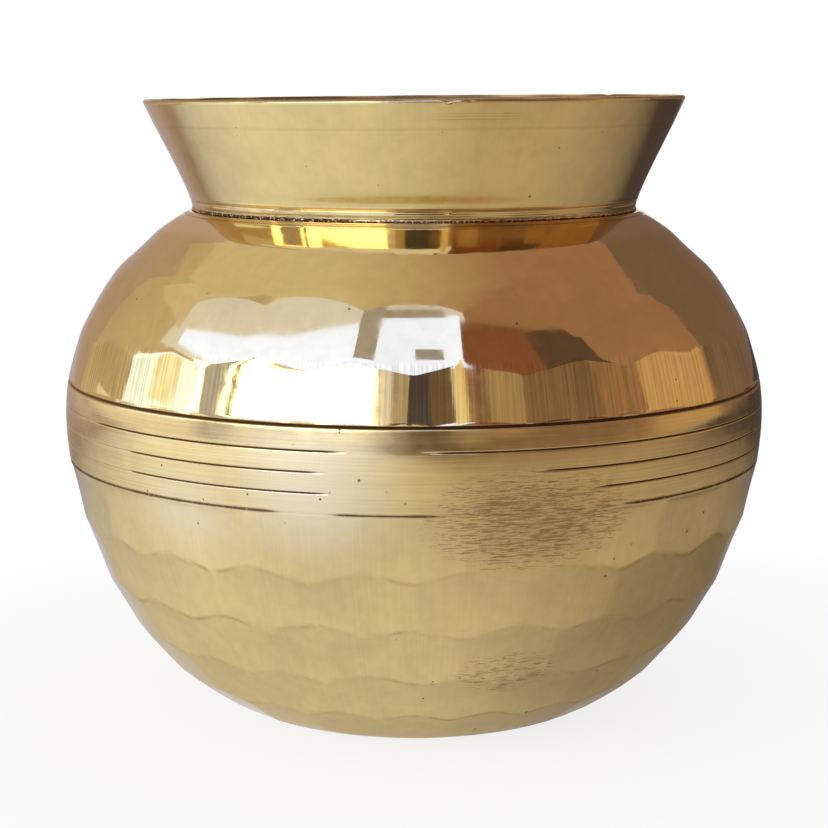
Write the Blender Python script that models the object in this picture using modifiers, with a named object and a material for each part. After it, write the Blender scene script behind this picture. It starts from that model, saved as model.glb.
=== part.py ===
"""Brass lota: a hammered and brazed water pot with a flaring collar.

The pot is turned about +Z and stands on z = 0. All lengths are metres.
"""

import math
from bisect import bisect_left

import bmesh
import bpy

# Outline of the outside
BELLY_RADIUS = 0.0700
BELLY_HEIGHT = 0.0597        # base to the widest line
BASE_RADIUS = 0.0300         # flat that the pot stands on
BOWL_FULLNESS = 1.815        # exponent of the bowl's curve, where 2 is an ellipse
SHOULDER_RISE = 0.0478       # widest line to the level where the shoulder's ellipse would close
CROWN_RADIUS = 0.0140        # radius at which that ellipse would be level
NECK_RADIUS = 0.0443         # outside of the collar's foot
COLLAR_RISE = 0.0216         # shoulder's seat to the top of the lip
COLLAR_SWEEP = 0.0170        # radius of the curve from the collar's foot into its flare
FOOT_ANGLE = math.radians(10.0)    # lean of the collar's foot
FLARE_ANGLE = math.radians(26.0)   # lean of the straight flare above the curve
LIP_BAND = 0.0052            # height of the steeper band below the lip
LIP_INSET = 0.0002           # how far that band brings the lip in from the straight flare
LIP_ROUND = 0.0006           # rounding of the lip's two edges
RIDGE_DROP = 0.0083          # shoulder's seat to the ridge round the neck, along the wall
RIDGE_RISE = 0.0003          # how far that ridge stands off the outline
SHOULDER_SWELL = 0.0003      # how far the top edge of the shoulder's marks stands off the outline

# Walls and brazed laps
SHELL_WALL = 0.0015
COLLAR_WALL = 0.0015
BRAZE_FILM = 0.0004          # spelter between two lapped walls
BRAZE_SEAM = 0.0005          # height of the spelter that shows at a seam
BRAZE_BEAD = 0.0003          # how far the neck's spelter stands proud of the collar's foot
SEAT_CLEARANCE = 0.0003      # left between neighbouring pieces
NECK_LAP = 0.0050            # height of the flange inside the collar's foot
BELLY_LAP = 0.0060           # height of the bowl's tongue inside the shoulder
BELLY_SEAM_DROP = 0.0082     # belly seam below the widest line
JOGGLE_DROP = 0.0035         # height over which the bowl's inside steps in to its tongue

# Mouldings turned on the collar's foot, as heights over the foot
FOOT_BEAD = 0.00045
FOOT_BEAD_RISE = 0.0002
FOOT_GROOVE = 0.00095
FOOT_GROOVE_DEPTH = 0.0001
UPPER_BEAD = 0.0015
UPPER_BEAD_RISE = 0.00012
UPPER_BEAD_END = 0.0019

# Turned band round the belly
GROOVE_WIDTH = 0.0006
GROOVE_DEPTH = 0.0003
GROOVE_PITCH = 0.0037        # from the belly seam up to each groove in turn
PITCHED_GROOVES = 3          # grooves below the top one
TOP_GROOVE_WIDTH = 0.0009    # the top groove is cut heavier than the rest
TOP_GROOVE_DEPTH = 0.0004
TOP_GROOVE_PITCH = 0.0043    # step up to the top groove

# Hammer marks: shallow dishes in rows, each row half a mark out of step with the next
MARKS_AROUND = 22            # marks in one row
ROW_STEP = 0.0120            # height of a row of marks along the wall
CUT_ROW = 0.0100             # what the turned band leaves of the row above it
BOWL_ROWS = 5
MARK_DEPTH = 0.00028         # depth at the middle of a mark
MARK_EDGE_RISE = 0.00020     # how much shallower it is at its upper and lower edge
MARK_SIDE_RISE = 0.00015     # how much shallower it is at its two sides

# Fineness
SEGMENTS_PER_MARK = 4
SEGMENTS = SEGMENTS_PER_MARK * MARKS_AROUND
ROW_STEPS = 2                # steps down the wall in a row of marks
SWEEP_STEPS = 3
PLAIN_STEPS = 3              # steps down a stretch of wall with no marks
INSIDE_STEPS = 6             # steps along the inside of a shell
OUTLINE_SAMPLES = 600
MERGE_DISTANCE = 0.00001
ON_WALL = 0.00001            # how near the outline a vertex lies to count as the outside
SHARP_ANGLE = math.radians(30.0)
FRONT = math.radians(-90.0)  # way that the middle of a mark faces

# Looks: linear colour and roughness
COLLAR_BRASS = ((0.80, 0.63, 0.29), 0.16)
SHOULDER_BRASS = ((0.78, 0.58, 0.25), 0.14)
BOWL_BRASS = ((0.80, 0.63, 0.30), 0.20)
SPELTER = ((0.17, 0.10, 0.045), 0.55)

COLLECTION = "brass_lota"
BASE_ANGLE = -0.5 * math.pi  # end of the bowl's curve, at the flat base's edge


# Outline of the body, by an angle that is 0 at the widest line and a quarter turn at either end
def wall_point(angle):
    """Radius and height of the outside; a positive angle is on the shoulder, a negative one on the bowl."""
    if angle >= 0.0:
        radius = CROWN_RADIUS + (BELLY_RADIUS - CROWN_RADIUS) * math.cos(angle)
        return radius, BELLY_HEIGHT + SHOULDER_RISE * math.sin(angle)
    power = 2.0 / BOWL_FULLNESS
    spread = max(math.cos(angle), 0.0) ** power
    depth = math.sin(-angle) ** power
    return BASE_RADIUS + (BELLY_RADIUS - BASE_RADIUS) * spread, BELLY_HEIGHT * (1.0 - depth)


def inset_point(angle, inset):
    """Point that lies inset inside the outline, measured square to the wall."""
    reach = 0.5 * math.pi / OUTLINE_SAMPLES
    low = wall_point(max(angle - reach, BASE_ANGLE))
    high = wall_point(angle + reach)
    run = high[0] - low[0]
    rise = high[1] - low[1]
    length = math.hypot(run, rise)
    radius, height = wall_point(angle)
    return radius - inset * rise / length, height + inset * run / length


def angle_at_radius(radius):
    """Angle on the shoulder at which the outside has this radius."""
    return math.acos((radius - CROWN_RADIUS) / (BELLY_RADIUS - CROWN_RADIUS))


def angle_at_height(height):
    """Angle at which the outside has this height."""
    if height >= BELLY_HEIGHT:
        return math.asin(min((height - BELLY_HEIGHT) / SHOULDER_RISE, 1.0))
    share = min((BELLY_HEIGHT - height) / BELLY_HEIGHT, 1.0)
    return -math.asin(share ** (0.5 * BOWL_FULLNESS))


def wall_radius(height):
    return wall_point(angle_at_height(height))[0]


def walk_table(top_angle):
    """Angles up the outside, and the distance walked along it from the base's edge to each of them."""
    angles = [BASE_ANGLE] + spaced(BASE_ANGLE, top_angle, OUTLINE_SAMPLES)
    walks = [0.0]
    for low, high in zip(angles, angles[1:]):
        walks.append(walks[-1] + math.dist(wall_point(low), wall_point(high)))
    return angles, walks


def interpolate(value, keys, values):
    """Value read from a rising table, held at its ends."""
    if value <= keys[0]:
        return values[0]
    if value >= keys[-1]:
        return values[-1]
    after = bisect_left(keys, value)
    share = (value - keys[after - 1]) / (keys[after] - keys[after - 1])
    return values[after - 1] + share * (values[after] - values[after - 1])


def spaced(start, end, steps):
    """Values after start, up to and with end, in equal steps."""
    return [start + (end - start) * i / steps for i in range(1, steps + 1)]


# Heights and radii that several pieces share
SEAT_ANGLE = angle_at_radius(NECK_RADIUS)
SEAT_HEIGHT = wall_point(SEAT_ANGLE)[1]
SEAM_GAP = BRAZE_SEAM + 2.0 * SEAT_CLEARANCE
LAP_GAP = BRAZE_FILM + 2.0 * SEAT_CLEARANCE

FLANGE_RADIUS = NECK_RADIUS - COLLAR_WALL - LAP_GAP
FLANGE_TOP = SEAT_HEIGHT + NECK_LAP
COLLAR_FOOT = SEAT_HEIGHT + SEAM_GAP
LIP_HEIGHT = SEAT_HEIGHT + COLLAR_RISE

SEAM_HEIGHT = BELLY_HEIGHT - BELLY_SEAM_DROP
SHOULDER_EDGE = SEAM_HEIGHT + 0.5 * SEAM_GAP
BOWL_LEDGE = SEAM_HEIGHT - 0.5 * SEAM_GAP
TONGUE_TOP = BOWL_LEDGE + BELLY_LAP
TONGUE_RADIUS = min(wall_radius(SHOULDER_EDGE), wall_radius(TONGUE_TOP)) - SHELL_WALL - LAP_GAP

WALK_ANGLES, WALKS = walk_table(SEAT_ANGLE)


def walk_at(angle):
    return interpolate(angle, WALK_ANGLES, WALKS)


def angle_at(walk):
    return interpolate(walk, WALKS, WALK_ANGLES)


# Places along the wall, as distances walked up the outside from the base's edge
SEAM_WALK = walk_at(angle_at_height(SEAM_HEIGHT))
GROOVE_WALKS = [SEAM_WALK + GROOVE_PITCH * (i + 1) for i in range(PITCHED_GROOVES)]
GROOVE_WALKS.append(GROOVE_WALKS[-1] + TOP_GROOVE_PITCH)
BAND_TOP = GROOVE_WALKS[-1] + 0.5 * TOP_GROOVE_WIDTH
LEDGE_WALK = walk_at(angle_at_height(BOWL_LEDGE))

# Edges of the rows of marks, from the bottom up, each with the way its scallops swing: 0 for a straight edge
SHOULDER_EDGES = [(BAND_TOP, 0), (BAND_TOP + CUT_ROW, -1), (BAND_TOP + CUT_ROW + ROW_STEP, 1)]
BOWL_EDGES = [(LEDGE_WALK - ROW_STEP * row, (-1) ** row if row else 0) for row in range(BOWL_ROWS, -1, -1)]

# Middles of the rows of marks, each with its shift round the pot in marks
SHOULDER_ROWS = [(SHOULDER_EDGES[1][0] - 0.5 * ROW_STEP, 0.5), (SHOULDER_EDGES[1][0] + 0.5 * ROW_STEP, 0.0)]
BOWL_MARK_ROWS = [(LEDGE_WALK - ROW_STEP * (row + 0.5), 0.5 * (row % 2)) for row in range(BOWL_ROWS)]

# Where two rows of dishes meet, their edge swings by this much to either side of its middle
SCALLOP = ROW_STEP / 8.0 * MARK_SIDE_RISE / MARK_EDGE_RISE


# Building
def clear_scene():
    for item in list(bpy.data.objects):
        bpy.data.objects.remove(item, do_unlink=True)


def brass(name, look):
    colour, roughness = look
    material = bpy.data.materials.new(name)
    material.use_nodes = True
    shader = material.node_tree.nodes["Principled BSDF"]
    shader.inputs["Base Color"].default_value = (*colour, 1.0)
    shader.inputs["Metallic"].default_value = 1.0
    shader.inputs["Roughness"].default_value = roughness
    return material


def turn(name, outline, closed, look, collection, hammering=None):
    """Turn an outline of (radius, height) points about Z; it runs down its outer side."""
    count = len(outline)
    edges = [(i, i + 1) for i in range(count - 1)]
    if closed:
        edges.append((count - 1, 0))
    profile = bpy.data.meshes.new(name + "_profile")
    profile.from_pydata([(radius, 0.0, height) for radius, height in outline], edges, [])
    piece = bpy.data.objects.new(name, profile)
    collection.objects.link(piece)
    screw = piece.modifiers.new("turn", "SCREW")
    screw.axis = "Z"
    screw.angle = 2.0 * math.pi
    screw.steps = SEGMENTS
    screw.render_steps = SEGMENTS
    screw.use_merge_vertices = True
    screw.merge_threshold = MERGE_DISTANCE

    evaluated = piece.evaluated_get(bpy.context.evaluated_depsgraph_get())
    piece.data = bpy.data.meshes.new_from_object(evaluated)
    piece.data.name = name
    piece.modifiers.remove(screw)
    bpy.data.meshes.remove(profile)
    if hammering:
        hammer(piece.data, *hammering)
    piece.data.shade_smooth()
    piece.data.set_sharp_from_angle(angle=SHARP_ANGLE)
    piece.data.materials.clear()
    piece.data.materials.append(brass(name + "_brass", look))
    return piece


def mark_depth(walk, turn_angle, rows):
    """Depth that the deepest dish here reaches below the outline."""
    deepest = 0.0
    for middle, shift in rows:
        column = MARKS_AROUND * (turn_angle - FRONT) / (2.0 * math.pi) + shift
        across = 2.0 * (column - round(column))
        along = 2.0 * (walk - middle) / ROW_STEP
        deepest = max(deepest, MARK_DEPTH - MARK_SIDE_RISE * across ** 2 - MARK_EDGE_RISE * along ** 2)
    return deepest


def hammered_point(walk, turn_angle, edges, rows, swell):
    """Where the hammer leaves a point of the outside: row edges scalloped, and dished between them."""
    row = max(i for i, (edge, _) in enumerate(edges[:-1]) if walk >= edge or i == 0)
    (low, low_swing), (high, high_swing) = edges[row], edges[row + 1]
    share = (walk - low) / (high - low)
    wave = math.cos(MARKS_AROUND * (turn_angle - FRONT))
    moved = walk + SCALLOP * wave * (low_swing * (1.0 - share) + high_swing * share)
    rise = swell * (moved - edges[0][0]) / (edges[-1][0] - edges[0][0])
    return inset_point(angle_at(moved), mark_depth(moved, turn_angle, rows) - rise)


def hammer(mesh, edges, rows, swell):
    """Move the outside's vertices between the first and last row edge to where the hammer leaves them.

    The top edge stands off the outline by swell, and the bottom edge lies on it.
    """
    bottom, top = edges[0][0], edges[-1][0]
    shape = bmesh.new()
    shape.from_mesh(mesh)
    for vertex in shape.verts:
        radius = math.hypot(vertex.co.x, vertex.co.y)
        if abs(radius - wall_radius(vertex.co.z)) > ON_WALL:
            continue
        walk = walk_at(angle_at_height(vertex.co.z))
        if bottom - ON_WALL <= walk <= top + ON_WALL:
            turn_angle = math.atan2(vertex.co.y, vertex.co.x)
            radius, height = hammered_point(min(max(walk, bottom), top), turn_angle, edges, rows, swell)
            vertex.co = (radius * math.cos(turn_angle), radius * math.sin(turn_angle), height)
    shape.to_mesh(mesh)
    shape.free()


def row_walks(edges):
    """Places down the wall of every vertex in the rows of marks, from the top edge to the bottom one."""
    walks = [edges[-1][0]]
    for (low, _), (high, _) in zip(reversed(edges[:-1]), reversed(edges)):
        walks += spaced(high, low, ROW_STEPS)
    return walks


# Pieces
def neck_collar(collection):
    centre = NECK_RADIUS + COLLAR_SWEEP * math.cos(FOOT_ANGLE)
    level = COLLAR_FOOT - COLLAR_SWEEP * math.sin(FOOT_ANGLE)

    def sweep(angle, sweep_radius):
        return centre - sweep_radius * math.cos(angle), level + sweep_radius * math.sin(angle)

    def flank(height, sweep_radius):
        start = sweep(FLARE_ANGLE, sweep_radius)
        return start[0] + (height - start[1]) * math.tan(FLARE_ANGLE), height

    def moulding(over_foot, rise_off):
        angle = math.asin(math.sin(FOOT_ANGLE) + over_foot / COLLAR_SWEEP)
        radius, height = sweep(angle, COLLAR_SWEEP)
        return radius + rise_off, height

    inner_sweep = COLLAR_SWEEP + COLLAR_WALL
    outer_lip = flank(LIP_HEIGHT, COLLAR_SWEEP)[0] - LIP_INSET
    inner_lip = flank(LIP_HEIGHT, inner_sweep)[0] - LIP_INSET
    band_foot = flank(LIP_HEIGHT - LIP_BAND, COLLAR_SWEEP)
    round_in = LIP_ROUND * (outer_lip - band_foot[0]) / LIP_BAND
    round_foot = LIP_HEIGHT - LIP_ROUND
    outline = [(outer_lip - LIP_ROUND, LIP_HEIGHT), (outer_lip - round_in, round_foot), band_foot]
    outline += [sweep(FLARE_ANGLE, COLLAR_SWEEP), moulding(UPPER_BEAD_END, 0.0)]
    outline += [moulding(UPPER_BEAD, UPPER_BEAD_RISE), moulding(FOOT_GROOVE, -FOOT_GROOVE_DEPTH)]
    outline += [moulding(FOOT_BEAD, FOOT_BEAD_RISE), moulding(0.0, 0.0)]
    inside_angles = [FOOT_ANGLE] + spaced(FOOT_ANGLE, FLARE_ANGLE, SWEEP_STEPS)
    outline += [sweep(angle, inner_sweep) for angle in inside_angles]
    outline += [(inner_lip - round_in, round_foot), (inner_lip + LIP_ROUND, LIP_HEIGHT)]
    return turn("neck_collar", outline, True, COLLAR_BRASS, collection)


def groove(walk, width, depth):
    """Upper edge, bottom and lower edge of a groove turned into the wall."""
    upper = wall_point(angle_at(walk + 0.5 * width))
    lower = wall_point(angle_at(walk - 0.5 * width))
    return [upper, inset_point(angle_at(walk), depth), lower]


def shoulder_shell(collection):
    inner_flange = FLANGE_RADIUS - SHELL_WALL
    edge_angle = angle_at_height(SHOULDER_EDGE)
    ridge = walk_at(SEAT_ANGLE) - RIDGE_DROP
    cove = 0.5 * (ridge + SHOULDER_EDGES[-1][0])
    outline = [(FLANGE_RADIUS, FLANGE_TOP), (FLANGE_RADIUS, SEAT_HEIGHT), wall_point(SEAT_ANGLE)]
    outline += [inset_point(angle_at(ridge), -RIDGE_RISE), wall_point(angle_at(cove))]
    outline += [wall_point(angle_at(walk)) for walk in row_walks(SHOULDER_EDGES)]
    outline += groove(GROOVE_WALKS[-1], TOP_GROOVE_WIDTH, TOP_GROOVE_DEPTH)[1:]
    for walk in reversed(GROOVE_WALKS[:-1]):
        outline += groove(walk, GROOVE_WIDTH, GROOVE_DEPTH)
    outline.append(wall_point(edge_angle))
    outline.append((wall_radius(SHOULDER_EDGE) - SHELL_WALL, SHOULDER_EDGE))
    inside = [inset_point(angle, SHELL_WALL) for angle in spaced(edge_angle, SEAT_ANGLE, INSIDE_STEPS)]
    outline += inside
    outline += [(inner_flange, inside[-1][1]), (inner_flange, FLANGE_TOP)]
    hammering = (SHOULDER_EDGES, SHOULDER_ROWS, SHOULDER_SWELL)
    return turn("shoulder_shell", outline, True, SHOULDER_BRASS, collection, hammering)


def lower_bowl(collection):
    inner_tongue = TONGUE_RADIUS - SHELL_WALL
    joggle_angle = angle_at_height(BOWL_LEDGE - SHELL_WALL - JOGGLE_DROP)
    plain = spaced(BOWL_EDGES[0][0], 0.0, PLAIN_STEPS)
    inside = spaced(BASE_ANGLE, joggle_angle, INSIDE_STEPS)
    outline = [(0.0, SHELL_WALL), inset_point(BASE_ANGLE, SHELL_WALL)]
    outline += [inset_point(angle, SHELL_WALL) for angle in inside]
    outline += [(inner_tongue, BOWL_LEDGE - SHELL_WALL), (inner_tongue, TONGUE_TOP)]
    outline += [(TONGUE_RADIUS, TONGUE_TOP), (TONGUE_RADIUS, BOWL_LEDGE)]
    outline += [wall_point(angle_at(walk)) for walk in row_walks(BOWL_EDGES) + plain]
    outline.append((0.0, 0.0))
    return turn("lower_bowl", outline, False, BOWL_BRASS, collection, (BOWL_EDGES, BOWL_MARK_ROWS, 0.0))


def braze_ring(name, lapped_radius, floor, lap, rim, collection):
    """L-shaped ring of spelter: a film up the lapped wall and a foot out to the seam's rim."""
    inner = lapped_radius + SEAT_CLEARANCE
    bottom = floor + SEAT_CLEARANCE
    foot_top = bottom + BRAZE_SEAM
    top = floor + lap - SEAT_CLEARANCE
    outer = inner + BRAZE_FILM
    outline = [(inner, top), (outer, top), (outer, foot_top)]
    outline += rim(bottom, foot_top) + [(inner, bottom)]
    return turn(name, outline, True, SPELTER, collection)


def neck_rim(bottom, top):
    """The neck's spelter ends in a small bead, proud of the collar's foot."""
    return [(NECK_RADIUS, top), (NECK_RADIUS + BRAZE_BEAD, 0.5 * (bottom + top)), (NECK_RADIUS, bottom)]


def belly_rim(bottom, top):
    """The belly's spelter is dressed flush with the wall."""
    return [(wall_radius(top), top), (wall_radius(bottom), bottom)]


def main():
    clear_scene()
    collection = bpy.data.collections.new(COLLECTION)
    bpy.context.scene.collection.children.link(collection)
    neck_collar(collection)
    shoulder_shell(collection)
    lower_bowl(collection)
    braze_ring("neck_braze", FLANGE_RADIUS, SEAT_HEIGHT, NECK_LAP, neck_rim, collection)
    braze_ring("belly_braze", TONGUE_RADIUS, BOWL_LEDGE, BELLY_LAP, belly_rim, collection)


main()
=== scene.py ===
"""Looks of a brass lota: hammered shells, turned band, brazed seams, flaring collar and a pale studio."""

import math

import bpy
import numpy as np
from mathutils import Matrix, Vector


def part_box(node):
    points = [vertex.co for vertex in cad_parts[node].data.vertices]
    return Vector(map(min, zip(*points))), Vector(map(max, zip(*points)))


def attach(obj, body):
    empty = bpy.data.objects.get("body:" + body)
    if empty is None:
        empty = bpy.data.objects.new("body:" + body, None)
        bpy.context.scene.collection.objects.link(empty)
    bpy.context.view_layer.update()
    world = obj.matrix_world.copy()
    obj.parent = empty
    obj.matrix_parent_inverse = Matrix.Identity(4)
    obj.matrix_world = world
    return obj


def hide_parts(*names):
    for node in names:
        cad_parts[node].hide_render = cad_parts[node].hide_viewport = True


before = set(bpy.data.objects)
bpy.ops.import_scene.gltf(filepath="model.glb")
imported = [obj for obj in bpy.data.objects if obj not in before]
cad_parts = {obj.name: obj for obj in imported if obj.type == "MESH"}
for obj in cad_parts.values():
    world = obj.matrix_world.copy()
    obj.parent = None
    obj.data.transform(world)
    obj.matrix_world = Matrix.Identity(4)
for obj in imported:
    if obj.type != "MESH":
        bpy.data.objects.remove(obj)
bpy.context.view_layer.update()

SEED = 22
MM = 0.001

# Heights that the frame gives, in metres
LIP_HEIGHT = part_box("neck_collar")[1].z
COLLAR_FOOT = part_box("neck_collar")[0].z
FLANGE_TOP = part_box("shoulder_shell")[1].z
TONGUE_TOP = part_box("lower_bowl")[1].z
NECK_FILM_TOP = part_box("neck_braze")[1].z
BELLY_FILM_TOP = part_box("belly_braze")[1].z

# Outline of the outside, in metres
BELLY_RADIUS = 0.07
BELLY_HEIGHT = 0.0597  # base to the widest line
BASE_RADIUS = 0.03
BOWL_FULLNESS = 1.815  # exponent of the bowl's curve, where 2 is an ellipse
SHOULDER_RISE = 0.0478  # widest line to the level where the shoulder's ellipse would close
CROWN_RADIUS = 0.014  # radius at which that ellipse would be level
NECK_RADIUS = 0.0443
LIP_ROUND = 0.0006
LIP_LIFT = 0.0005  # height of the worn lip over the turned one
FOOT_SWEEP = 0.0186  # radius of the quick curve out of the collar's foot
FLARE_SWEEP = 0.171  # radius of the slow curve above it
FOOT_ANGLE = math.radians(14.0)  # lean of the collar's foot
KNEE_ANGLE = math.radians(23.5)  # lean where the quick curve passes into the slow one
FLARE_ANGLE = math.radians(26.5)  # lean of the straight flare above both
WALL = 0.0015
LAP_FILM = 0.0004  # spelter between two lapped walls
LAP_CLEARANCE = 0.0003
LAP_GAP = LAP_FILM + 2.0 * LAP_CLEARANCE
BELLY_SEAM_DROP = 0.0082  # belly seam below the widest line
JOGGLE_DROP = 0.0035  # height over which the bowl's inside steps in to its tongue

# Collar's turned details
BREAK_DROP = 0.0052  # lip to the line where the flare changes slope
BREAK_INSET = 0.0002  # how far the steeper band above that line brings the lip in
BREAK_WIDTH = 0.0003  # half width of the faint brown along that line
BREAK_TARNISH = 0.1
FOOT_TOP = 0.0036  # height over the seat up to which the foot has mouldings
FOOT_BEADS = ((0.0013, 0.0005, 0.00012), (0.00262, 0.0003, 0.00005))  # height, half width and rise
FOOT_GROOVE = (0.00205, 0.00022, 0.0001)  # height, half width and depth
GROOVE_TARNISH = 0.3
BEAD_WEAR = 11  # length, in columns, of the stretches in which the beads are worn away
BEADS_LEFT = (0.5, 1.2)  # usual share of a bead that is left, and how much it varies
HAIRLINES = (0.0026, 0.0031, 0.0036)  # drops from the lip to the fine lines that a tool left below it
HAIR_WIDTH = 0.00008
HAIR_TARNISH = 0.35
HAIR_STRETCH = (2.0, 23.0, 1.0)  # first and last turn in degrees from the front, and how strongly
LIP_TILT = math.radians(-0.5)
LIP_WAVE = 0.00005  # unevenness of the lip's edge
LIP_WAVE_REACH = 9  # length of its waves, in columns
LIP_NICKS = (  # turn in degrees, half width and depth in mm
    (6.5, 0.9, 0.3), (10.5, 0.5, 0.16), (-3.0, 1.6, 0.1), (128.0, 1.0, 0.22))
FOOT_GRIME = 0.0018  # how far the seam's grime goes up the collar
GRIME_UNEVEN = 0.5  # how much that reach varies
GRIME_TONES = (0.35, 0.5)  # its usual darkness, and how much it varies
LIP_GRIME = 0.6  # how dark the lip is where it isn't rubbed clean
LIP_UNRUBBED = 0.8  # how much of it isn't
GRIME_REACH = 0.006  # how far that goes down the inside

# Seams as they show
SEAM_LINE = 0.00032  # height of the belly seam's dark line
SEAM_UNEVEN = 0.35  # how much that height varies
SEAM_RECESS = 0.00014
RECESS_SHARES = (0.8, 0.5)  # usual share of that recess, and how much it varies
NECK_LINE = 0.00055  # height of the neck seam's crumbly bead
NECK_BEAD = 0.00026  # how far that bead stands proud
BEAD_SHARES = (0.55, 0.85)  # usual share of that, and how much its crumbs vary it
COARSE_CRUMBS = 0.6  # height of the coarse crumbs beside the fine ones
BEAD_BROWN = 0.2  # tarnish of the bead's lower half where it is smooth
BEAD_SINK = 0.00008  # how far its foot is sunk in the corner
BEAD_SAG = 0.0001  # how far its crumbs wander up and down
ROUGH_STRETCH = (-75.0, -12.0)  # first and last turn of the stretch where the bead is rough
ROUGH_FADES = (20.0, 14.0)  # degrees over which it gets smooth at either end
SMOOTH_SHARE = 0.35  # how rough it is elsewhere
WORN_GAP = 0.00001  # what is left of a seam where it is buffed flush
SEAT_LINE = 0.0016  # seat's edge to the fine line turned below it
SEAT_LINE_WIDTH = 0.0003  # half width of that line
SEAT_LINE_DEPTH = 0.00006
SEAT_GRIME = 0.00035  # how far the neck seam's grime goes down the shoulder
SEAT_TARNISH = 0.5  # how dark that grime and line are
EDGE_MARGIN = 0.0007  # strip beside the belly seam that follows its ragged line
REFLECTION_PAINT_REACH = 0.0092  # how far below the seat the shoulder's mirrored strip is painted paler, as a painted reflection
REFLECTION_PAINT_EDGE = 2.0  # how quickly that sets in from its edge

# Rise of the shoulder off its plain outline, by distance below the seat, and the cove beaten round the neck
SWELL_AT = (0.0, 0.0005, 0.003, 0.0083, 0.0175, 0.023, 0.03, 0.036)
SWELL_BY = (0.0, 0.0003, 0.00034, 0.0003, 0.00026, 0.00034, 0.00022, 0.00006)
COVE_START = 0.0083
COVE_END = 0.0175
COVE_DEPTH = 0.0003

# Hammer marks
MARKS_AROUND = 22
ROW_STEP = 0.012
CUT_ROW = 0.01  # what the turned band leaves of the row above it
BOWL_ROWS = 5
MARK_DEPTH = 0.00028
MARK_EDGE_RISE = 0.0002
MARK_SIDE_RISE = 0.00015
BOWL_GAIN = 1.6  # how much deeper the bowl is beaten than the shoulder
SCALLOP = ROW_STEP / 8.0 * MARK_SIDE_RISE / MARK_EDGE_RISE  # swing of the edge between two rows
CREASE_WIDTH = 0.00004  # lead of one dish over the next within which a place counts as on the ridge
RIDGE_SOFTNESS = 0.00001  # depth over which two dishes run into each other
MARK_SPREAD = 0.1  # how much the marks' depths differ
MARK_LEAN = 0.00003  # how far a mark leans sideways or up and down
RIPPLE = 0.00002  # slow unevenness of the sheet
RIPPLE_WAVES = 7
RIPPLE_AROUND = (2, 17)  # least waves round the pot, and one more than the most
RIPPLE_ALONG = (0.04, 0.22)  # radians of a wave per mm up the wall
RIPPLE_FADES = (0.006, 0.003)  # where that dies out, before an end of the wall and before a seam or groove
SEAM_FLUSH = 0.0012  # distance below the belly seam over which the hammering sets in
FRONT = math.radians(-90.0)  # turn of the front about +Z

# Turned band round the belly, from the seam up
GROOVE_WIDTH = 0.0005
GROOVE_DEPTH = 0.00022
GROOVE_PITCH = 0.0037
TOP_GROOVE_WIDTH = 0.0009
TOP_GROOVE_DEPTH = 0.0004
TOP_GROOVE_PITCH = 0.0043
ACROSS_GROOVE = (0.75, 0.5, 0.38, 0.25, 0.12, 0.0, -0.12, -0.25, -0.38, -0.5, -0.75)

# Stretches where buffing has worn a line away: first and last turn from the front, in degrees, and how far
SEAM_WEAR = ((-22.5, -9.0, 1.0), (1.0, 35.0, 1.0))
GROOVE_WEAR = (
    ((-15.0, 30.0, 1.0), (-100.0, -45.0, 0.75)),
    ((-16.0, 21.0, 1.0), (-100.0, -45.0, 0.75)),
    ((-13.0, 5.0, 1.0), (-100.0, -55.0, 0.75)),
)

# Patches of the belly: turn, its reach in degrees, height, its reach, and how strongly
SCRAPES = ((17.0, 19.5, 0.05, 0.011, 1.0), (17.0, 13.0, 0.0195, 0.006, 0.36))
# buffed patches: rougher from real buffing, and painted pale as a sheen of the window's soft reflection
BUFFINGS_WITH_SHEEN = ((-15.0, 17.0, 0.054, 0.015, 1.0), (-36.0, 16.0, 0.05, 0.012, 0.55))
SCRAPE_EDGE = 1.35  # how quickly a scrape sets in from its edge, where a buffing has 1
WEAR_FADE = 4.0  # degrees over which a line fades out

# Fineness
SEGMENTS_PER_MARK = 28
SEGMENTS = SEGMENTS_PER_MARK * MARKS_AROUND
OUTLINE_SAMPLES = 4000
FLANK_ROWS = 46
FOOT_ROWS = 34
LIP_ROWS = 6
BEAD_ROWS = 15
SEAT_ROWS = 14
CROWN_ROWS = 24
SHOULDER_MARK_ROWS = 22
CUT_MARK_ROWS = 18
BAND_ROWS = 4  # rows between two turned lines, and beside the seam
BOWL_MARK_STEPS = 18
FOOT_OF_BOWL_ROWS = 10
BASE_ROWS = 8
INSIDE_ROWS = {"collar": 24, "shoulder": 14, "bowl": 20}
NUDGE = 1.0e-4  # step, in radians, by which the slope of the outline is taken
SHARP_ANGLE = math.radians(40.0)


# Outline of the body, by an angle that is 0 at the widest line and a quarter turn where a curve gets level
BASE_ANGLE = -0.5 * math.pi
SEAT_ANGLE = math.acos((NECK_RADIUS - CROWN_RADIUS) / (BELLY_RADIUS - CROWN_RADIUS))


def wall_point(angle):
    """Radius and height of the outside; a positive angle is on the shoulder, a negative one on the bowl."""
    upper = np.clip(angle, 0.0, None)
    lower = np.clip(-angle, 0.0, 0.5 * math.pi)
    power = 2.0 / BOWL_FULLNESS
    shoulder = CROWN_RADIUS + (BELLY_RADIUS - CROWN_RADIUS) * np.cos(upper)
    bowl = BASE_RADIUS + (BELLY_RADIUS - BASE_RADIUS) * np.clip(np.cos(lower), 0.0, 1.0) ** power
    rise = BELLY_HEIGHT + SHOULDER_RISE * np.sin(upper)
    drop = BELLY_HEIGHT * (1.0 - np.sin(lower) ** power)
    return np.where(angle >= 0.0, shoulder, bowl), np.where(angle >= 0.0, rise, drop)


def inset_point(angle, inset):
    """Point that lies inset inside the outline, measured square to the wall."""
    low = wall_point(np.maximum(angle - NUDGE, BASE_ANGLE))
    high = wall_point(angle + NUDGE)
    run = high[0] - low[0]
    rise = high[1] - low[1]
    length = np.hypot(run, rise)
    radius, height = wall_point(angle)
    return radius - inset * rise / length, height + inset * run / length


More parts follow.
